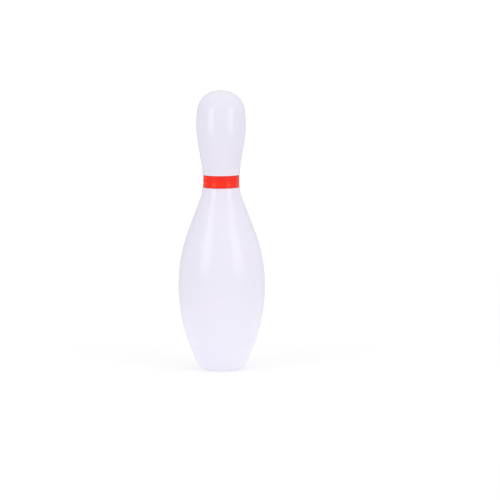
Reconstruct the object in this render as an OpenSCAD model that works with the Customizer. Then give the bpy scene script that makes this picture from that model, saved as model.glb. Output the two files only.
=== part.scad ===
// Toy bowling pin, 240 mm tall.
// A hollow blow-moulded shell stands on a ring round its pushed-up base. A strip of tape is
// wrapped in a groove at the waist, and a snap-in plug closes the hole that the shell was
// blown through. The pin stands on Z = 0 with its axis on Z. Sizes are in millimetres.

/* [Pin] */
// Overall height from the floor to the crown
pin_h = 240; // [215:1:270]
// Wall of the blow-moulded shell
wall = 1.5; // [1:0.1:2.5]

/* [Belly] */
// Largest diameter of the pin
belly_d = 74; // [64:0.5:88]
// Height of the largest diameter above the floor
belly_z = 73; // [60:0.5:90]
// Length of the straight taper between the belly and the waist
belly_taper = 30; // [5:1:45]
// Radius that turns the belly's taper into the waist
belly_blend_r = 24; // [10:1:80]

/* [Waist] */
// Diameter of the waist beside the band
waist_d = 32.4; // [28:0.1:36]
// Depth of the waist's middle below the crown
waist_drop = 77.7; // [70:0.1:90]
// Radius that turns the waist into the neck
neck_blend_r = 48; // [20:1:90]
// Length of the straight taper of the neck
neck_taper = 20; // [5:1:30]

/* [Head] */
// Largest diameter of the head
head_d = 42.7; // [40:0.1:48]
// Depth of the head's largest diameter below the crown
head_drop = 29; // [24:0.5:36]
// Radius of the head's side above its largest diameter
head_side_r = 92; // [50:1:160]
// Radius of the head's shoulder
shoulder_r = 18.8; // [12:0.1:20]
// Radius of the crown
crown_r = 25.2; // [22:0.1:40]

/* [Foot] */
// Outer diameter of the ring that the pin stands on
foot_d = 24.6; // [23:0.1:36]
// Radius between that ring and the belly's flank
foot_r = 10; // [4:0.5:14]
// Width of the standing ring, up to the line of the pushed-up wall
ring_w = 3.3; // [2.8:0.1:4]
// Radius inside the ring's inner edge; the outside adds the wall
ring_r = 0.5; // [0.2:0.05:1]
// Height that the base is pushed up inside the ring
push_up = 2.6; // [2:0.1:5]
// Draft of the pushed-up wall, in degrees
push_draft = 25; // [10:1:35]
// Radius between the pushed-up wall and the plug's seat
seat_round = 0.5; // [0.2:0.05:1]
// Diameter of the blowing hole in the pushed-up base
blow_d = 10; // [7:0.1:12]

/* [Band] */
// Width of the tape
band_w = 10.4; // [6:0.1:16]
// Thickness of one layer of tape
tape = 0.2; // [0.1:0.05:0.4]
// Arc at the back where the tape's end laps its start, in degrees
lap = 26; // [10:1:60]
// Depth of the moulded groove below the waist
groove = 0.9; // [0.5:0.05:1.2]
// Gap between each edge of the tape and the groove's side
band_gap = 0.1; // [0.05:0.05:0.5]
// Radius of the groove's lips
lip_r = 0.4; // [0.2:0.05:1]

/* [Plug] */
// Thickness of the plug's flange
flange = 1.2; // [0.8:0.1:1.8]
// Gap between the flange and the round at the edge of its seat
flange_gap = 0.3; // [0.1:0.05:1]
// Radius of the flange's rim
rim_r = 0.5; // [0.2:0.05:0.7]
// Length of the skirt inside the shell, past the base's wall
skirt_l = 4.5; // [3:0.1:10]
// Wall of the skirt
skirt_wall = 1; // [0.7:0.1:1.5]
// Gap between the skirt and the blowing hole
skirt_gap = 0.1; // [0.05:0.05:0.3]
// Height of the snap bead above the skirt
bead = 0.45; // [0.3:0.05:0.7]
// Gap between the snap bead and the base's wall
bead_gap = 0.1; // [0.05:0.05:0.4]
// Length of the skirt's tapered nose
nose = 1.2; // [0.6:0.1:2]

/* [Hidden] */
$fn = 120;

WHITE = [0.93, 0.925, 0.975];
RED = [0.98, 0.2, 0.12];
MILKY = [0.86, 0.86, 0.88];

// Furthest that a curve's chords stray from it
chord = 0.01;
// How far a cutting shape runs past the face that it cuts
past = 1;
// Points of a profile closer together than this are one point
same = 0.005;

belly_r = belly_d / 2;
waist_r = waist_d / 2;
head_r = head_d / 2;
waist_z = pin_h - waist_drop;
head_z = pin_h - head_drop;

// Straight waist: the band's groove with a lip at each side
slot_h = band_w + 2 * band_gap;
waist_h = slot_h + 2 * lip_r;
groove_r = waist_r - groove;
slot_low = waist_z - slot_h / 2;
slot_top = waist_z + slot_h / 2;

// An ogee leaves one upright wall, runs down a straight taper and meets another upright wall.
// Its slope and the sum of its two radii follow from the step in radius dr, the height dz and
// the taper's length l.
function ogee_slope(dr, dz, l) = 2 * atan(dr / (dz + l));
function ogee_radii(dr, dz, l) =
    let (a = ogee_slope(dr, dz, l)) (dr - l * sin(a)) / (1 - cos(a));

belly_step = belly_r - waist_r;
belly_rise = waist_z - waist_h / 2 - belly_z;
belly_slope = ogee_slope(belly_step, belly_rise, belly_taper);
belly_up_r = ogee_radii(belly_step, belly_rise, belly_taper) - belly_blend_r;

neck_step = head_r - waist_r;
neck_rise = head_z - waist_z - waist_h / 2;
neck_slope = ogee_slope(neck_step, neck_rise, neck_taper);
head_low_r = ogee_radii(neck_step, neck_rise, neck_taper) - neck_blend_r;

// The flank is the circle that is upright at the belly and touches the foot's round
foot = [foot_d / 2, foot_r];
foot_in = belly_r - foot.x;
foot_rise = belly_z - foot_r;
flank_r = (foot_in ^ 2 + foot_rise ^ 2 - foot_r ^ 2) / (2 * (foot_in - foot_r));
flank = [belly_r - flank_r, belly_z];
foot_angle = atan2(foot.y - flank.y, foot.x - flank.x);

// The shoulder is the circle that touches the head's side and the crown from inside
side = [head_r - head_side_r, head_z];
crown = [0, pin_h - crown_r];
reach = norm(crown - side);
toward = (crown - side) / reach;
along = ((head_side_r - shoulder_r) ^ 2 - (crown_r - shoulder_r) ^ 2 + reach ^ 2) / (2 * reach);
across = sqrt((head_side_r - shoulder_r) ^ 2 - along ^ 2);
shoulder = side + along * toward + across * [-toward.y, toward.x];
side_angle = atan2(shoulder.y - side.y, shoulder.x - side.x);
crown_angle = atan2(shoulder.y - crown.y, shoulder.x - crown.x);

// Line of the pushed-up wall at height z, moved out by an inset
function push_wall(inset, z) =
    foot_d / 2 - ring_w + inset / cos(push_draft) - z * tan(push_draft);
edge_r = wall + ring_r;
edge = [push_wall(edge_r, edge_r), edge_r];
seat = [push_wall(-seat_round, push_up - seat_round), push_up - seat_round];
push_angle = push_draft - 180;

// The outline from the plug's seat round the foot and up to the crown, as curves that meet
// with no corner. Each is a centre, a radius and the directions that the surface faces at its
// two ends. A radius below zero makes a hollow curve, and two curves with a distance between
// them are joined by a straight line.
CURVES = [
    [seat, -seat_round, -90, push_angle],
    [edge, edge_r, push_angle, -90],
    [foot, foot_r, -90, foot_angle],
    [flank, flank_r, foot_angle, 0],
    [[belly_r - belly_up_r, belly_z], belly_up_r, 0, belly_slope],
    [[waist_r + belly_blend_r, waist_z - waist_h / 2], -belly_blend_r, belly_slope, 0],
    [[waist_r + neck_blend_r, waist_z + waist_h / 2], -neck_blend_r, 0, -neck_slope],
    [[head_r - head_low_r, head_z], head_low_r, -neck_slope, 0],
    [side, head_side_r, 0, side_angle],
    [shoulder, shoulder_r, side_angle, crown_angle],
    [crown, crown_r, crown_angle, 90]
];

// Points along a curve, close enough for the chords to keep to the chord tolerance
function arc(centre, r, from, to) =
    let (n = max(1, ceil(abs(to - from) / (2 * acos(1 - chord / abs(r))))))
    [for (i = [0:n]) let (a = from + (to - from) * i / n) centre + r * [cos(a), sin(a)]];

function distinct(points) =
    [for (i = [0:len(points) - 1]) if (i == 0 || norm(points[i] - points[i - 1]) > same) points[i]];

// Half of the pin's section. Every curve keeps its centre as the section shrinks, so two
// sections that differ by an inset lie that far apart all over.
module section(inset) {
    rim = [for (c = CURVES) each arc(c[0], c[1] - inset, c[2], c[3])];
    polygon(distinct([[0, push_up + inset], each rim]));
}

// The band's groove with rounded lips
module groove_section() {
    lip = waist_r - lip_r;
    polygon([
        [waist_r + past, slot_low - lip_r],
        each arc([lip, slot_low - lip_r], lip_r, 0, 90),
        [groove_r, slot_low],
        [groove_r, slot_top],
        each arc([lip, slot_top + lip_r], lip_r, -90, 0),
        [waist_r + past, slot_top + lip_r]
    ]);
}

// The wall behind the groove steps in with it, along a 45 degree slope
module groove_backing() {
    back = groove_r - wall;
    out = groove + past;
    polygon([
        [back, slot_low - wall / 2],
        [back, slot_top + wall / 2],
        [back + out, slot_top + wall / 2 + out],
        [back + out, slot_low - wall / 2 - out]
    ]);
}

// Blow-moulded shell: one skin from the crown to the pushed-up base
module shell() {
    color(WHITE)
        rotate_extrude()
            difference() {
                section(0);
                difference() {
                    section(wall);
                    groove_backing();
                }
                groove_section();
                square([blow_d / 2, push_up + wall + past]);
            }
}

// Tape wrapped once round the groove, its end lapped over its start at the back
module neck_band() {
    color(RED)
        translate([0, 0, waist_z - band_w / 2]) {
            rotate_extrude() translate([groove_r, 0]) square([tape, band_w]);
            rotate([0, 0, 90 - lap / 2])
                rotate_extrude(angle = lap) translate([groove_r + tape, 0]) square([tape, band_w]);
        }
}

// Snap-in plug: a flange under the pushed-up base and a hollow skirt through the blowing hole,
// with a bead that snaps in above the base's wall
module base_plug() {
    flange_r = seat.x - flange_gap;
    skirt_r = blow_d / 2 - skirt_gap;
    bead_low = push_up + wall + bead_gap;
    lead_in = 2 * bead;
    skirt_top = push_up + wall + skirt_l;
    color(MILKY)
        rotate_extrude()
            difference() {
                polygon([
                    [0, push_up - flange],
                    each arc([flange_r - rim_r, push_up - flange + rim_r], rim_r, -90, 0),
                    [flange_r, push_up],
                    [skirt_r, push_up],
                    [skirt_r, bead_low],
                    [skirt_r + bead, bead_low + bead],
                    [skirt_r, bead_low + bead + lead_in],
                    [skirt_r, skirt_top - nose],
                    [skirt_r - skirt_wall / 2, skirt_top],
                    [0, skirt_top]
                ]);
                translate([0, push_up]) square([skirt_r - skirt_wall, skirt_top]);
            }
}

shell();
neck_band();
base_plug();
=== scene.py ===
import math

import bpy
import numpy as np
from mathutils import Matrix, Vector


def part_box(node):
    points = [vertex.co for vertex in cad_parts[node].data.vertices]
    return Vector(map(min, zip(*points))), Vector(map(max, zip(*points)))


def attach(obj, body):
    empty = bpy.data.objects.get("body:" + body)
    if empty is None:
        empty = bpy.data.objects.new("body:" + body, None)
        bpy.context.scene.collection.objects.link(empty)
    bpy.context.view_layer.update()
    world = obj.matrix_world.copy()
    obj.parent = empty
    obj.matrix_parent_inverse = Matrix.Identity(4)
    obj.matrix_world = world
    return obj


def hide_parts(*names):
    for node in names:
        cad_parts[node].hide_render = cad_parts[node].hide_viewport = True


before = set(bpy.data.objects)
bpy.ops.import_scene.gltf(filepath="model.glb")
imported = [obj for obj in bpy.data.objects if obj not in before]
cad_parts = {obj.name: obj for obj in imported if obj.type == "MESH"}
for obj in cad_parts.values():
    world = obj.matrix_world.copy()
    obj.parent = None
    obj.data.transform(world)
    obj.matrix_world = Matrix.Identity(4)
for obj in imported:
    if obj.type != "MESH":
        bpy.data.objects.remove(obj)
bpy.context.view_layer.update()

# A toy bowling pin stood on a lit table: a hollow blow-moulded shell, a strip of red tape in its
# waist groove and a snap-in plug under its base. Shapes are worked out in millimetres on the
# pin's own axis and put into the meshes in metres.

mm = 0.001
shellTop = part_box("shell")[1].z / mm
bandLow, bandHigh = (corner.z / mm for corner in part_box("neck_band"))
plugLow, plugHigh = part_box("base_plug")
print("frame loaded, pin height", round(shellTop, 1), "mm")

lineDetail = {  # shared by the lines that all pieces are drawn with
    "widestTurn": 7,  # degrees between neighbours on an arc
    "samePoint": 1e-4,  # mm, points closer than this are one
    "sharpAngle": 40,  # degrees, a sharper edge isn't smoothed over
}


def smoothStep(values, low, high):
    # Nought below low, one above high, and 3t^2 - 2t^3 between them, t being the share of the way
    t = np.clip((values - low) / (high - low), 0, 1)
    return t * t * (3 - 2 * t)


def arcRow(centre, radius, startAngle, endAngle, step):
    # Circle: centre plus radius times the cosine and sine of an angle that runs evenly from start
    # to end, in degrees; neighbours lie one step or the widest turn apart, whichever is closer
    turn = abs(endAngle - startAngle)
    count = math.ceil(max(turn / lineDetail["widestTurn"], math.radians(turn) * abs(radius) / step))
    angles = np.radians(np.linspace(startAngle, endAngle, max(2, count) + 1))
    return np.array(centre) + radius * np.stack([np.cos(angles), np.sin(angles)], 1)


def fillRow(points, step):
    # The same line with straight stretches divided evenly, so that no two neighbours lie further
    # apart than a step: each point is a share of the way along the stretch that it falls in
    lengths = np.linalg.norm(np.diff(points, axis=0), axis=1)
    apart = lengths > lineDetail["samePoint"]
    points = points[np.concatenate([[True], apart])]
    counts = np.maximum(1, np.ceil(lengths[apart] / step).astype(int))
    which = np.repeat(np.arange(len(counts)), counts)
    share = (np.arange(counts.sum()) - np.repeat(np.cumsum(counts) - counts, counts)) / counts[which]
    filled = points[which] + share[:, None] * (points[which + 1] - points[which])
    return np.vstack([filled, points[-1:]])


def lineNormals(points):
    # Unit normals to the left of a line of points, from the difference across each point
    along = np.gradient(points, axis=0)
    along /= np.linalg.norm(along, axis=1)[:, None]
    return np.stack([-along[:, 1], along[:, 0]], 1)


def turnLine(points, angles, sink=None):
    # Surface of revolution: a point at radius r and height z becomes (r cos a, r sin a, z) at
    # each angle a, after it is moved against the line's normal by its sink. The line runs from
    # pole to pole, down the outside, and the two poles are single vertices.
    sink = np.zeros((len(points), len(angles))) if sink is None else sink
    normals = lineNormals(points)
    radius = points[:, :1] - sink * normals[:, :1]
    height = points[:, 1:] - sink * normals[:, 1:]
    radius[[0, -1]] = 0
    grid = np.stack([radius * np.cos(angles), radius * np.sin(angles), height], 2)
    rows, columns = len(points) - 2, len(angles)
    body = grid[1:-1].reshape(-1, 3)
    poles = grid[[0, -1]].mean(1)
    row, column = np.meshgrid(np.arange(rows - 1), np.arange(columns), indexing="ij")
    after = (column + 1) % columns
    quads = np.stack([row * columns + column, (row + 1) * columns + column,
                      (row + 1) * columns + after, row * columns + after], 2).reshape(-1, 4)
    firstPole, lastPole = rows * columns, rows * columns + 1
    ring = np.arange(columns)
    nextRing = (ring + 1) % columns
    lastRow = (rows - 1) * columns
    topFan = np.stack([np.full(columns, firstPole), ring, nextRing], 1)
    endFan = np.stack([np.full(columns, lastPole), lastRow + nextRing, lastRow + ring], 1)
    return np.vstack([body, poles]), quads.tolist() + topFan.tolist() + endFan.tolist()


def makePiece(name, points, faces, material, node):
    # Puts a worked-out surface into a mesh, in metres, and lets it stand for its CAD node
    mesh = bpy.data.meshes.new(name)
    mesh.from_pydata(points * mm, [], faces)
    mesh.polygons.foreach_set("use_smooth", np.ones(len(mesh.polygons), bool))
    mesh.set_sharp_from_angle(angle=math.radians(lineDetail["sharpAngle"]))
    mesh.materials.append(material)
    piece = bpy.data.objects.new(name, mesh)
    bpy.context.scene.collection.objects.link(piece)
    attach(piece, "root")
    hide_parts(node)
    print(name, "made,", len(faces), "faces")


def linearColour(code):
    # sRGB hex to linear red, green and blue, by the standard curve with its straight foot
    parts = [int(code[i:i + 2], 16) / 255 for i in (1, 3, 5)]
    return (*[p / 12.92 if p <= 0.04045 else ((p + 0.055) / 1.055) ** 2.4 for p in parts], 1)


def perMetre(size):
    # Scale of a pattern whose grains are this many mm across
    return 1 / (size * mm)


def addNode(tree, kind, sockets, **settings):
    # One node with its own settings; each named socket gets a value, or a link from an output
    node = tree.nodes.new(kind)
    for key, value in settings.items():
        setattr(node, key, value)
    for key, value in sockets.items():
        if isinstance(value, bpy.types.NodeSocket):
            tree.links.new(value, node.inputs[key])
        else:
            node.inputs[key].default_value = value
    return node


def newMaterial(name):
    # An empty material and its node tree
    material = bpy.data.materials.new(name)
    material.use_nodes = True
    material.node_tree.nodes.clear()
    return material, material.node_tree


pin = {
    # The moulding's line, in mm and degrees
    "wall": 1.5,
    "bellyRadius": 37, "bellyHeight": 73, "bellyTaper": 30, "bellyBlend": 24,
    "waistRadius": 16.2, "neckBlend": 48, "neckTaper": 20,
    "headRadius": 21.35, "headDrop": 29, "headSide": 92, "shoulder": 18.8, "crown": 25.2,
    "footRadius": 12.3, "footRound": 10, "ringWidth": 3.3, "ringRound": 0.5,
    "pushUp": 2.6, "pushDraft": 25, "seatRound": 0.5, "holeRadius": 5,
    "grooveDepth": 0.9, "tapeGap": 0.1, "lipRound": 0.4,
    # Rows of the mesh in mm, its columns, and how much these crowd towards the seam
    "skinStep": 1.2, "crownStep": 0.3, "lipStep": 0.1, "cavityStep": 4,
    "columns": 216, "seamCrowding": 0.97,
    # How far the skin lies below its full size, in mm, so that the seam can stand proud; all of
    # it fades out between two heights above the floor
    "shrink": 0.06, "seamWidth": 0.17, "halfStep": 0.012, "fadeLow": 1, "fadeHigh": 7,
    # Cooling waves, mm deep, and the height in mm that they rise by. A row is a strength, the
    # lobes round the pin, their twist and start, and then the rise and start of a slower swell.
    "waveDepth": 0.07, "waveHeight": 46,
    "waves": ((1, 2, 3.1, 0.6, 1.9, -0.4),
              (0.7, 3, -2.3, 2.1, 0, 0),
              (0.5, 5, 5.2, 0, 4.1, 1.3 - math.pi / 2)),
    # The weld across the crown, in mm, which fades in between two depths below the top, and the
    # valleys beside it, whose depth ripples along them
    "scarLength": 9.5, "scarFade": 1.5, "scarHalfWidth": 0.65, "scarStarts": 9, "scarWhole": 5,
    "scarNick": 0.12, "nickLength": 1.9, "nickWander": 2, "weldRound": 0.12, "weldLift": 0.9,
    "valleyOffset": 0.5, "valleyWidth": 1.6, "valleyDepth": 0.22,
    "ripple": 0.2, "rippleTurn": 1.3, "rippleStart": 0.5,
    # The finish: colours, sizes and depths of its patterns in mm, and roughness
    "white": "#EDEBF9", "otherWhite": "#EFEBF8", "patchSize": 30,
    # The pink near the band is painted light: red light thrown back from the tape, painted into the
    # white
    "paintedRedBounce": "#EFE9F8", "paintedBounceFull": 12, "paintedBounceEnd": 52,  # mm from the tape's middle
    "streakPitch": 2.5, "streakLength": 90.9, "streakDepth": 0.02, "streakShade": 0.985,
    "peelSize": 4, "peelDepth": 0.05,
    "glossySkin": 0.165, "satinSkin": 0.215, "satinSize": 18,
    "rubbed": 0.055, "rubbedBelow": 100, "rubbedEnd": 160,  # roughness added, and mm of height
}


def ogee(stepIn, rise, taper, nearRadius):
    # Two upright walls joined by two arcs and a straight taper: the slope is twice the angle
    # whose tangent is step over rise plus taper, and the two radii add up to the step less the
    # taper's share of it, over one less the slope's cosine. Returns the slope and the far radius.
    slope = 2 * math.atan2(stepIn, rise + taper)
    both = (stepIn - taper * math.sin(slope)) / (1 - math.cos(slope))
    return math.degrees(slope), both - nearRadius


def pinLine(shape, inset, step):
    # Arcs that meet with no corner: each is centre + (radius - inset) * (cos a, sin a), so an
    # inset line lies that far inside all along. A radius below zero makes a hollow.
    slotLow, slotTop = bandLow - shape["tapeGap"], bandHigh + shape["tapeGap"]
    waistLow, waistTop = slotLow - shape["lipRound"], slotTop + shape["lipRound"]
    belly, waist, head = shape["bellyRadius"], shape["waistRadius"], shape["headRadius"]
    headHeight = shellTop - shape["headDrop"]
    bellySlope, bellyUp = ogee(belly - waist, waistLow - shape["bellyHeight"],
                               shape["bellyTaper"], shape["bellyBlend"])
    neckSlope, headLow = ogee(head - waist, headHeight - waistTop,
                              shape["neckTaper"], shape["neckBlend"])

    # The flank touches the foot's round and stands upright at the belly
    foot = np.array([shape["footRadius"], shape["footRound"]])
    inward, rise = belly - foot[0], shape["bellyHeight"] - foot[1]
    flankRadius = (inward ** 2 + rise ** 2 - foot[1] ** 2) / (2 * (inward - foot[1]))
    flank = np.array([belly - flankRadius, shape["bellyHeight"]])
    footAngle = math.degrees(math.atan2(*(foot - flank)[::-1]))

    # The shoulder touches the head's side and the crown from inside
    side = np.array([head - shape["headSide"], headHeight])
    crown = np.array([0, shellTop - shape["crown"]])
    sideGap, crownGap = shape["headSide"] - shape["shoulder"], shape["crown"] - shape["shoulder"]
    reach = np.linalg.norm(crown - side)
    toward = (crown - side) / reach
    along = (sideGap ** 2 - crownGap ** 2 + reach ** 2) / (2 * reach)
    across = math.sqrt(sideGap ** 2 - along ** 2)
    shoulder = side + along * toward + across * np.array([-toward[1], toward[0]])
    sideAngle = math.degrees(math.atan2(*(shoulder - side)[::-1]))
    crownAngle = math.degrees(math.atan2(*(shoulder - crown)[::-1]))

    # The pushed-up wall leans in by its draft from the standing ring to the plug's seat
    draft = math.radians(shape["pushDraft"])

    def pushWall(offset, height):
        return (shape["footRadius"] - shape["ringWidth"] + offset / math.cos(draft)
                - height * math.tan(draft))

    edgeRadius = shape["wall"] + shape["ringRound"]
    seatRound = shape["seatRound"]
    edge = [pushWall(edgeRadius, edgeRadius), edgeRadius]
    seat = [pushWall(-seatRound, shape["pushUp"] - seatRound), shape["pushUp"] - seatRound]
    pushAngle = shape["pushDraft"] - 180

    below = [
        (seat, -seatRound, -90, pushAngle),
        (edge, edgeRadius, pushAngle, -90),
        (foot, shape["footRound"], -90, footAngle),
        (flank, flankRadius, footAngle, 0),
        ([belly - bellyUp, shape["bellyHeight"]], bellyUp, 0, bellySlope),
        ([waist + shape["bellyBlend"], waistLow], -shape["bellyBlend"], bellySlope, 0),
    ]
    above = [
        ([waist + shape["neckBlend"], waistTop], -shape["neckBlend"], 0, -neckSlope),
        ([head - headLow, headHeight], headLow, -neckSlope, 0),
        (side, shape["headSide"], 0, sideAngle),
        (shoulder, shape["shoulder"], sideAngle, crownAngle),
    ]
    lower = [arcRow(c, r - inset, a, b, step) for c, r, a, b in below]
    upper = [arcRow(c, r - inset, a, b, step) for c, r, a, b in above]
    grooveRadius = waist - shape["grooveDepth"]
    if inset:  # the wall behind the groove steps in with it, along a 45 degree slope
        back = grooveRadius - inset
        ramp = waist - inset - back
        groove = [np.array([
            [waist - inset, slotLow - inset / 2 - ramp], [back, slotLow - inset / 2],
            [back, slotTop + inset / 2], [waist - inset, slotTop + inset / 2 + ramp]])]
        lower[-1] = lower[-1][lower[-1][:, 1] < groove[0][0, 1]]
        upper[0] = upper[0][upper[0][:, 1] > groove[0][-1, 1]]
        crownStep = step
    else:
        lip = waist - shape["lipRound"]
        groove = [arcRow([lip, waistLow], shape["lipRound"], 0, 90, shape["lipStep"]),
                  np.array([[grooveRadius, slotLow], [grooveRadius, slotTop]]),
                  arcRow([lip, waistTop], shape["lipRound"], -90, 0, shape["lipStep"])]
        crownStep = shape["crownStep"]
    top = arcRow(crown, shape["crown"] - inset, crownAngle, 90, crownStep)
    return fillRow(np.vstack([*lower, *groove, *upper, top]), step)


def skinSink(radius, height, angles, shape):
    # How far the moulded skin lies below its full size, in mm. Across the parting plane a thin
    # bead, the shrinkage less a bell curve of the distance, stands up to the full size, and one
    # half of the mould sits a hair lower than the other. Broad waves, sines of turn and height,
    # are where the wall cooled unevenly. On the crown the pinched-off end of the parison is a
    # flat weld with a shallow valley at each side.
    across, along = radius * np.sin(angles), radius * np.cos(angles)
    bead = np.exp(-(across / shape["seamWidth"]) ** 2)
    halfLower = shape["halfStep"] * (1 + np.tanh(across / shape["seamWidth"])) / 2
    up = height / shape["waveHeight"]
    waves = sum(strength * np.sin(lobes * angles + twist * up + start) * np.cos(swell * up + begin)
                for strength, lobes, twist, start, swell, begin in shape["waves"])
    highest = sum(wave[0] for wave in shape["waves"])
    waveSink = shape["waveDepth"] * (1 + waves / highest) / 2
    plain = (1 - bead) * (shape["shrink"] + halfLower + waveSink)

    onCrown = smoothStep(height, shellTop - shape["scarStarts"], shellTop - shape["scarWhole"])
    inScar = onCrown * smoothStep(-np.abs(along), -shape["scarLength"],
                                  shape["scarFade"] - shape["scarLength"])
    wander = shape["nickWander"] * np.sin(along)
    nicks = shape["scarNick"] * np.sin(along / shape["nickLength"] * math.tau + wander)
    edge = shape["scarHalfWidth"] + nicks * np.sign(across)
    beside = np.abs(across) - edge
    weld = smoothStep(-beside, -shape["weldRound"], shape["weldRound"])
    valley = np.exp(-((beside - shape["valleyOffset"]) / shape["valleyWidth"]) ** 2)
    ripple = np.sin(shape["rippleTurn"] * along + shape["rippleStart"])
    valley *= shape["valleyDepth"] * (1 - shape["ripple"] * (1 - ripple))
    sink = plain * (1 - inScar * weld * shape["weldLift"]) + inScar * (1 - weld) * valley
    return sink * smoothStep(height, shape["fadeLow"], shape["fadeHigh"])


def makeShell(shape, material):
    # The line down the outside and up the inside, turned round the axis. Columns crowd towards
    # the seam: an even turn t becomes t less half the crowding times the sine of twice t.
    skin = pinLine(shape, 0, shape["skinStep"])[::-1]
    cavity = pinLine(shape, shape["wall"], shape["cavityStep"])
    holeRadius = shape["holeRadius"]
    hole = np.array([[holeRadius, skin[-1, 1]], [holeRadius, cavity[0, 1]]])
    line = np.vstack([skin, hole, cavity])
    turn = np.arange(shape["columns"]) / shape["columns"] * math.tau
    angles = turn - shape["seamCrowding"] / 2 * np.sin(2 * turn)
    sink = skinSink(line[:, :1], line[:, 1:], angles[None, :], shape)
    sink[len(skin):] = 0
    points, faces = turnLine(line, angles, sink)
    makePiece("pinShell", points, faces, material, "shell")


def blowMouldedPolyethylene(finish):
    # High-density polyethylene blown in a grit-blasted mould: a soft satin white with a cool
    # cast, light that sinks in a little, and broad soft highlights with slightly uneven edges
    material, tree = newMaterial("blowMouldedPolyethylene")
    place = addNode(tree, "ShaderNodeTexCoord", {}).outputs["Object"]
    # Pigment that never mixes quite evenly: two close whites in broad patches
    patches = addNode(tree, "ShaderNodeTexNoise", {
        "Vector": place, "Scale": perMetre(finish["patchSize"]), "Detail": 2.0})
    patchShare = addNode(tree, "ShaderNodeMapRange", {
        "Value": patches.outputs["Fac"], "From Min": 0.45, "From Max": 0.7})
    white = addNode(tree, "ShaderNodeMix", {
        "Factor": patchShare.outputs["Result"], "A": linearColour(finish["white"]),
        "B": linearColour(finish["otherWhite"])}, data_type="RGBA")
    # Painted light: a pink tint stands for red light thrown from the tape onto the white plastic, and
    # fades out away from the band
    height = addNode(tree, "ShaderNodeSeparateXYZ", {"Vector": place}).outputs["Z"]
    offBand = addNode(tree, "ShaderNodeMath", {
        0: height, 1: (bandLow + bandHigh) / 2 * mm}, operation="SUBTRACT")
    fromBand = addNode(tree, "ShaderNodeMath", {0: offBand.outputs["Value"]}, operation="ABSOLUTE")
    paintedRedBounce = addNode(tree, "ShaderNodeMapRange", {
        "Value": fromBand.outputs["Value"], "From Min": finish["paintedBounceFull"] * mm,
        "From Max": finish["paintedBounceEnd"] * mm, "To Min": 1.0, "To Max": 0.0},
        interpolation_type="SMOOTHSTEP")
    withPaintedBounce = addNode(tree, "ShaderNodeMix", {
        "Factor": paintedRedBounce.outputs["Result"], "A": white.outputs["Result"],
        "B": linearColour(finish["paintedRedBounce"])}, data_type="RGBA")
    # Die lines down the parison: long faint streaks, drawn just strong enough to see
    across, down = perMetre(finish["streakPitch"]), perMetre(finish["streakLength"])
    stretch = addNode(tree, "ShaderNodeMapping", {"Vector": place, "Scale": (across, across, down)})
    dieLines = addNode(tree, "ShaderNodeTexNoise", {
        "Vector": stretch.outputs["Vector"], "Scale": 1.0, "Detail": 1.0})
    lineShade = addNode(tree, "ShaderNodeMapRange", {
        "Value": dieLines.outputs["Fac"], "To Min": finish["streakShade"], "To Max": 1.0})
    streaked = addNode(tree, "ShaderNodeVectorMath", {
        0: withPaintedBounce.outputs["Result"], "Scale": lineShade.outputs["Result"]}, operation="SCALE")
    # The blasted skin is far finer than can be seen, so it is drawn as a coarser orange peel
    peel = addNode(tree, "ShaderNodeTexNoise", {
        "Vector": place, "Scale": perMetre(finish["peelSize"]), "Detail": 3.0})
    satin = addNode(tree, "ShaderNodeTexNoise", {
        "Vector": place, "Scale": perMetre(finish["satinSize"]), "Detail": 4.0})
    gloss = addNode(tree, "ShaderNodeMapRange", {
        "Value": satin.outputs["Fac"], "From Min": 0.3, "From Max": 0.7,
        "To Min": finish["glossySkin"], "To Max": finish["satinSkin"]})
    # Pins knock and rub at the belly, which is duller than the head
    rubbed = addNode(tree, "ShaderNodeMapRange", {
        "Value": height, "From Min": finish["rubbedBelow"] * mm, "From Max": finish["rubbedEnd"] * mm,
        "To Min": finish["rubbed"], "To Max": 0.0}, interpolation_type="SMOOTHSTEP")
    rough = addNode(tree, "ShaderNodeMath", {
        0: gloss.outputs["Result"], 1: rubbed.outputs["Result"]}, operation="ADD")
    lineBump = addNode(tree, "ShaderNodeBump", {
        "Height": dieLines.outputs["Fac"], "Strength": 1.0, "Distance": finish["streakDepth"] * mm})
    peelBump = addNode(tree, "ShaderNodeBump", {
        "Height": peel.outputs["Fac"], "Strength": 1.0, "Distance": finish["peelDepth"] * mm,
        "Normal": lineBump.outputs["Normal"]})
    surface = addNode(tree, "ShaderNodeBsdfPrincipled", {
        "Base Color": streaked.outputs["Vector"], "Roughness": rough.outputs["Value"],
        "IOR": 1.54, "Subsurface Weight": 0.2, "Subsurface Radius": (1.0, 0.9, 0.85),
        "Subsurface Scale": 2 * mm, "Normal": peelBump.outputs["Normal"]})
    addNode(tree, "ShaderNodeOutputMaterial", {"Surface": surface.outputs["BSDF"]})
    return material


tape = {
    # One turn of tape whose end laps its start at the back, in mm and degrees
    "thickness": 0.2, "lap": 26, "lapMiddle": 90, "ramp": 9, "slack": 0.01, "glue": 0.005,
    "curl": 0.1, "curlTurn": 5, "endThinning": 0.025, "lean": 0.2, "leanHeight": 4.5,
    "edgeRound": 0.12, "edgeShare": 0.35,  # mm, and the share of the thickness left at the edge
    # Stretch ridges: mm between them and their depth, then a slower beat as a share of their turn
    "ridgePitch": 2.3, "ridgeDepth": 0.04, "ridgeShare": 0.25,
    "beatTurn": 0.43, "beatStart": 1, "beatShare": 0.15,
    "columns": 300, "faceRows": 64,
    # The finish: two reds, roughness, and the stretch lines in mm, with their start in pitches
    # The second red is partly the stretch lines' own tone and partly painted sheen on the glossy
    # lines
    "red": "#F81A00", "stretchAndSheenRed": "#FF2C00", "dullTape": 0.5, "glossyTape": 0.1,
    "linePitch": 2.0833, "lineLength": 71.43, "lineStart": 5.2, "lineDepth": 0.02,
}


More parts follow.
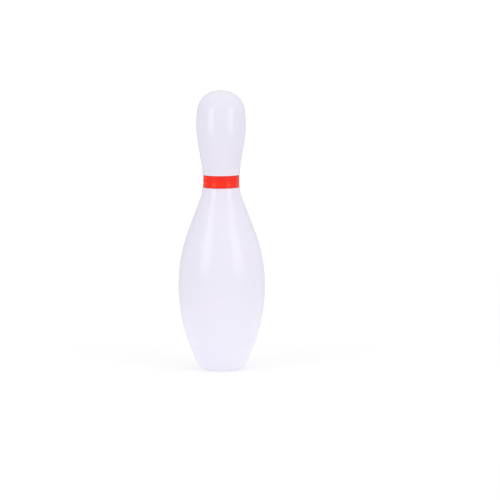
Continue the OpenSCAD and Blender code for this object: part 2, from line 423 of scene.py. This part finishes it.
def makeBand(shape, material):
    # A flat section carried round the groove: at turn t, from the lap's start, a section point
    # with offset o and height h goes to radius groove + glue + lift(t) + lean(h) + o. The lift
    # rises smoothly by one thickness over the ramp before the strip meets its own start. The lapped
    # end is pulled a little thinner and its last few degrees curl up. All along, the strip's lower
    # part leans out, by a smooth step of the height.
    grooveRadius = pin["waistRadius"] - pin["grooveDepth"]
    thick = shape["thickness"]
    share = np.linspace(0, 1, shape["faceRows"])
    height = bandLow + (bandHigh - bandLow) * (1 - np.cos(math.pi * share)) / 2  # crowds at edges
    fromEdge = np.minimum(height - bandLow, bandHigh - height)
    ridgeTurn = height / shape["ridgePitch"] * math.tau
    ridgeSink = shape["ridgeShare"] * (1 - np.sin(ridgeTurn))
    ridgeSink += shape["beatShare"] * (1 - np.sin(ridgeTurn * shape["beatTurn"] + shape["beatStart"]))
    rounding = np.sqrt(1 - (1 - np.clip(fromEdge / shape["edgeRound"], 0, 1)) ** 2)
    face = thick - shape["ridgeDepth"] * ridgeSink
    face *= shape["edgeShare"] + (1 - shape["edgeShare"]) * rounding
    lean = shape["lean"] * smoothStep(-height, -bandLow - shape["leanHeight"], -bandLow)

    # The section runs up the face and back down the glued side
    offset = np.concatenate([face, np.zeros(len(face))])
    lean = np.concatenate([lean, lean[::-1]])
    height = np.concatenate([height, height[::-1]])
    turn = np.linspace(0, 360 + shape["lap"], shape["columns"])
    lift = (thick + shape["slack"]) * smoothStep(turn, 360 - shape["ramp"], 360)
    lift += shape["curl"] * smoothStep(turn, turn[-1] - shape["curlTurn"], turn[-1])
    thinner = 1 - shape["endThinning"] * smoothStep(turn, 360, 360 + shape["lap"])
    angle = np.radians(shape["lapMiddle"] - shape["lap"] / 2 + turn)[:, None]
    radius = grooveRadius + shape["glue"] + lift[:, None] + lean + offset * thinner[:, None]
    points = np.stack([radius * np.cos(angle), radius * np.sin(angle),
                       np.broadcast_to(height, radius.shape)], 2)
    count, ring = points.shape[:2]
    column, row = np.meshgrid(np.arange(count - 1), np.arange(ring), indexing="ij")
    after = (row + 1) % ring
    quads = np.stack([column * ring + row, (column + 1) * ring + row,
                      (column + 1) * ring + after, column * ring + after], 2).reshape(-1, 4)
    ends = [list(range(ring)), list(range((count - 1) * ring, count * ring))[::-1]]
    makePiece("neckTape", points.reshape(-1, 3), quads.tolist() + ends,
              material, "neck_band")


def calenderedPvcTape(finish):
    # Soft PVC tape off a calender: a flat warm red with a low gloss, and fine lines that run
    # along the strip, where it was stretched as it was wound on
    material, tree = newMaterial("calenderedPvcTape")
    place = addNode(tree, "ShaderNodeTexCoord", {}).outputs["Object"]
    # Long thin stretch lines that keep nearly their height all round, the glossier ones a shade
    # warmer and lighter, partly the lines' own tone and partly a painted sheen; where they start from
    # puts a glossy one low on the strip
    along, across = perMetre(finish["lineLength"]), perMetre(finish["linePitch"])
    stretch = addNode(tree, "ShaderNodeMapping", {
        "Vector": place, "Location": (0, 0, finish["lineStart"]), "Scale": (along, along, across)})
    lines = addNode(tree, "ShaderNodeTexNoise", {
        "Vector": stretch.outputs["Vector"], "Scale": 1.0, "Detail": 2.0})
    lineShare = addNode(tree, "ShaderNodeMapRange", {
        "Value": lines.outputs["Fac"], "From Min": 0.38, "From Max": 0.62})
    red = addNode(tree, "ShaderNodeMix", {
        "Factor": lineShare.outputs["Result"], "A": linearColour(finish["red"]),
        "B": linearColour(finish["stretchAndSheenRed"])}, data_type="RGBA")
    rough = addNode(tree, "ShaderNodeMapRange", {
        "Value": lineShare.outputs["Result"], "To Min": finish["dullTape"],
        "To Max": finish["glossyTape"]})
    bump = addNode(tree, "ShaderNodeBump", {
        "Height": lines.outputs["Fac"], "Strength": 1.0, "Distance": finish["lineDepth"] * mm})
    surface = addNode(tree, "ShaderNodeBsdfPrincipled", {
        "Base Color": red.outputs["Result"], "Roughness": rough.outputs["Result"],
        "IOR": 1.53, "Specular IOR Level": 0.33, "Normal": bump.outputs["Normal"]})
    addNode(tree, "ShaderNodeOutputMaterial", {"Surface": surface.outputs["BSDF"]})
    return material


plug = {
    # A flange under the base and a hollow skirt that snaps into the hole, in mm
    "flange": 1.2, "rimRound": 0.5, "skirtRadius": 4.9, "skirtWall": 1, "nose": 1.2,
    "bead": 0.45, "beadLow": 4.2, "leadIn": 0.9,
    "dishRadius": 5.2, "dishEdge": 0.6, "dishDepth": 0.15,
    "gateRadius": 0.9, "gateEdge": 0.3, "gateHeight": 0.12,
    "step": 0.5, "rimStep": 0.1, "columns": 96,
    # The finish: two milky whites, and the flow rings in mm
    "milky": "#DADBE1", "lighterMilky": "#E0E0E5", "ringPitch": 1.4137, "ringDepth": 0.01,
}


def makePlug(shape, material):
    # The section's line, from the cup's floor out over the skirt's end, down the outside and in
    # to the middle of the underside, turned round the axis. The underside is sunk by a shallow
    # dish, a smooth step of the radius, with the gate's small bump in the middle.
    bottom, top, flange = plugLow.z / mm, plugHigh.z / mm, plugHigh.x / mm
    seat = bottom + shape["flange"]
    skirt, bead, low = shape["skirtRadius"], shape["bead"], shape["beadLow"]
    cup = skirt - shape["skirtWall"]
    rimRound = shape["rimRound"]
    rim = arcRow([flange - rimRound, bottom + rimRound], rimRound, 0, -90, shape["rimStep"])
    line = np.vstack([
        [[0, seat], [cup, seat], [cup, top], [skirt - shape["skirtWall"] / 2, top],
         [skirt, top - shape["nose"]], [skirt, low + bead + shape["leadIn"]],
         [skirt + bead, low + bead], [skirt, low], [skirt, seat], [flange, seat]],
        rim, [[0, bottom]]])
    line = fillRow(line, shape["step"])
    under = line[:, 1] < bottom + lineDetail["samePoint"]
    dish = smoothStep(-line[:, 0], -shape["dishRadius"], shape["dishEdge"] - shape["dishRadius"])
    gate = smoothStep(-line[:, 0], -shape["gateRadius"], shape["gateEdge"] - shape["gateRadius"])
    line[:, 1] += under * (dish * shape["dishDepth"] - gate * shape["gateHeight"])
    angles = np.arange(shape["columns"]) / shape["columns"] * math.tau
    points, faces = turnLine(line, angles)
    makePiece("basePlug", points, faces, material, "base_plug")


def mouldedLowDensityPolyethylene(finish):
    # Unpigmented low-density polyethylene from a polished mould: milky, waxy and translucent,
    # with faint flow rings round the gate
    material, tree = newMaterial("mouldedLowDensityPolyethylene")
    place = addNode(tree, "ShaderNodeTexCoord", {}).outputs["Object"]
    # The wave node turns 20 radians for each unit, so its scale is worked out from one ring's turn
    ringScale = math.tau / 20 * perMetre(finish["ringPitch"])
    rings = addNode(tree, "ShaderNodeTexWave", {
        "Vector": place, "Scale": ringScale, "Distortion": 1.5, "Detail": 1.0},
        wave_type="RINGS", rings_direction="Z")
    milky = addNode(tree, "ShaderNodeMix", {
        "Factor": rings.outputs["Fac"], "A": linearColour(finish["milky"]),
        "B": linearColour(finish["lighterMilky"])}, data_type="RGBA")
    bump = addNode(tree, "ShaderNodeBump", {
        "Height": rings.outputs["Fac"], "Strength": 1.0, "Distance": finish["ringDepth"] * mm})
    surface = addNode(tree, "ShaderNodeBsdfPrincipled", {
        "Base Color": milky.outputs["Result"], "Roughness": 0.38, "IOR": 1.51,
        "Subsurface Weight": 0.4, "Subsurface Radius": (1.0, 0.95, 0.9),
        "Subsurface Scale": 1.5 * mm, "Normal": bump.outputs["Normal"]})
    addNode(tree, "ShaderNodeOutputMaterial", {"Surface": surface.outputs["BSDF"]})
    return material


makeShell(pin, blowMouldedPolyethylene(pin))
makeBand(tape, calenderedPvcTape(tape))
makePlug(plug, mouldedLowDensityPolyethylene(plug))


studio = {  # table, room, lamps and camera, in metres, degrees and radiance
    "tableSize": 60, "tableColour": "#C8C8C8",
    # The table's glow: near and far distance from the pin, and its level at each
    "litGlow": (0.05, 0.45, 0.49, 0.17), "seenGlow": (0.08, 2.5, 0.43, 0.69),
    "roomColour": "#FFFFFF", "roomMiddle": 0.632, "roomLean": (0.054, 0, 0.439),
    # Azimuth to the right of the front, elevation, distance, width, height, radiance and colour
    "lamps": {
        "leftSoftbox": (-46.5, 10.3, 0.453, 0.205, 0.284, 1.735, "#FCFEFF"),
        "rightSoftbox": (46.5, 10.3, 0.453, 0.195, 0.284, 1.685, "#FFFCFD"),
    },
    "lampAim": (0, 0, 0.184),
    "aim": (0, 0, 0.12), "cameraElevation": 6.24, "cameraDistance": 3.0, "cameraRoll": 0.265,
    "lens": 252.7, "shift": (0.05706, -0.0400), "farthestSeen": 100,
}


def litAcrylicTable(colour, litGlow, seenGlow):
    # A white acrylic table with a lamp under its middle: its glow fades away from the pin, and
    # the rest of its brightness is what falls on it, so that the pin leaves a faint soft shadow.
    # Straight into the camera the glow grows with the distance instead, as the light that falls
    # on the table falls off, so that all of it but the shadow is white. It is clear from below.
    material, tree = newMaterial("litAcrylicTable")
    seen = addNode(tree, "ShaderNodeLightPath", {}).outputs["Is Camera Ray"]
    own = addNode(tree, "ShaderNodeBsdfDiffuse", {"Color": linearColour(colour)})
    place = addNode(tree, "ShaderNodeTexCoord", {}).outputs["Object"]
    fromPin = addNode(tree, "ShaderNodeVectorMath", {0: place}, operation="LENGTH").outputs["Value"]
    near, far, nearLevel, farLevel = litGlow
    pool = addNode(tree, "ShaderNodeMapRange", {
        "Value": fromPin, "From Min": near, "From Max": far, "To Min": nearLevel,
        "To Max": farLevel}, interpolation_type="SMOOTHSTEP")
    near, far, nearLevel, farLevel = seenGlow
    plain = addNode(tree, "ShaderNodeMapRange", {
        "Value": fromPin, "From Min": near, "From Max": far, "To Min": nearLevel,
        "To Max": farLevel})
    level = addNode(tree, "ShaderNodeMix", {
        "Factor": seen, "A": pool.outputs["Result"], "B": plain.outputs["Result"]})
    glow = addNode(tree, "ShaderNodeEmission", {
        "Color": (1, 1, 1, 1), "Strength": level.outputs["Result"]})
    both = addNode(tree, "ShaderNodeAddShader", {0: own.outputs[0], 1: glow.outputs[0]})
    clear = addNode(tree, "ShaderNodeBsdfTransparent", {})
    behind = addNode(tree, "ShaderNodeNewGeometry", {}).outputs["Backfacing"]
    fromBelow = addNode(tree, "ShaderNodeMath", {0: seen, 1: behind}, operation="MULTIPLY")
    surface = addNode(tree, "ShaderNodeMixShader", {
        0: fromBelow.outputs[0], 1: both.outputs[0], 2: clear.outputs[0]})
    addNode(tree, "ShaderNodeOutputMaterial", {"Surface": surface.outputs["Shader"]})
    return material


def makeTable(size, material):
    # A square of the given side, centred under the pin
    half = size / 2
    mesh = bpy.data.meshes.new("table")
    mesh.from_pydata([(-half, -half, 0), (half, -half, 0), (half, half, 0), (-half, half, 0)],
                     [], [(0, 1, 2, 3)])
    mesh.materials.append(material)
    table = bpy.data.objects.new("table", mesh)
    bpy.context.scene.collection.objects.link(table)


def lightRoom(colour, middle, lean):
    # The room's light comes from direction (x, y, z) at a middle level, plus the dot product of
    # the direction and a lean, which makes the ceiling the brightest and the right a little
    # brighter than the left. Straight into the camera it is plain white.
    world = bpy.data.worlds.new("room")
    world.use_nodes = True
    world.node_tree.nodes.clear()
    tree = world.node_tree
    seen = addNode(tree, "ShaderNodeLightPath", {}).outputs["Is Camera Ray"]
    direction = addNode(tree, "ShaderNodeTexCoord", {}).outputs["Generated"]
    leaning = addNode(tree, "ShaderNodeVectorMath", {0: direction, 1: lean}, operation="DOT_PRODUCT")
    level = addNode(tree, "ShaderNodeMath", {
        0: leaning.outputs["Value"], 1: middle}, operation="ADD")
    even = addNode(tree, "ShaderNodeBackground", {
        "Color": linearColour(colour), "Strength": level.outputs["Value"]})
    white = addNode(tree, "ShaderNodeBackground", {"Color": (1, 1, 1, 1), "Strength": 1.0})
    room = addNode(tree, "ShaderNodeMixShader", {0: seen, 1: even.outputs[0], 2: white.outputs[0]})
    addNode(tree, "ShaderNodeOutputWorld", {"Surface": room.outputs["Shader"]})
    bpy.context.scene.world = world


def standAt(azimuth, elevation, distance, aim):
    # A place on the sphere round the aim: azimuth 0 is in front, on -Y, and 90 to the right, on
    # +X. Returned with the turn that points an object's -Z at the aim.
    a, e = math.radians(azimuth), math.radians(elevation)
    away = Vector((math.sin(a) * math.cos(e), -math.cos(a) * math.cos(e), math.sin(e)))
    turn = (-away).to_track_quat("-Z", "Y").to_matrix().to_4x4()
    return Matrix.Translation(Vector(aim) + away * distance) @ turn


def hangLamp(name, azimuth, elevation, distance, width, height, radiance, colour, aim):
    # A rectangular softbox: its power is its radiance times pi times its area
    lamp = bpy.data.lights.new(name, "AREA")
    lamp.shape = "RECTANGLE"
    lamp.size, lamp.size_y = width, height
    lamp.energy = radiance * math.pi * width * height
    lamp.color = linearColour(colour)[:3]
    holder = bpy.data.objects.new(name, lamp)
    holder.matrix_world = standAt(azimuth, elevation, distance, aim)
    holder.visible_camera = False
    bpy.context.scene.collection.objects.link(holder)


makeTable(studio["tableSize"],
          litAcrylicTable(studio["tableColour"], studio["litGlow"], studio["seenGlow"]))
lightRoom(studio["roomColour"], studio["roomMiddle"], studio["roomLean"])
for lampName, lampPlace in studio["lamps"].items():
    hangLamp(lampName, *lampPlace, studio["lampAim"])

camera = bpy.data.objects.new("camera", bpy.data.cameras.new("camera"))
bpy.context.scene.collection.objects.link(camera)
camera.matrix_world = (standAt(0, studio["cameraElevation"], studio["cameraDistance"], studio["aim"])
                       @ Matrix.Rotation(-math.radians(studio["cameraRoll"]), 4, "Z"))
camera.data.lens = studio["lens"]
camera.data.shift_x, camera.data.shift_y = studio["shift"]
camera.data.clip_end = studio["farthestSeen"]
bpy.context.scene.camera = camera
bpy.context.scene.view_settings.view_transform = "Standard"
print("studio ready")
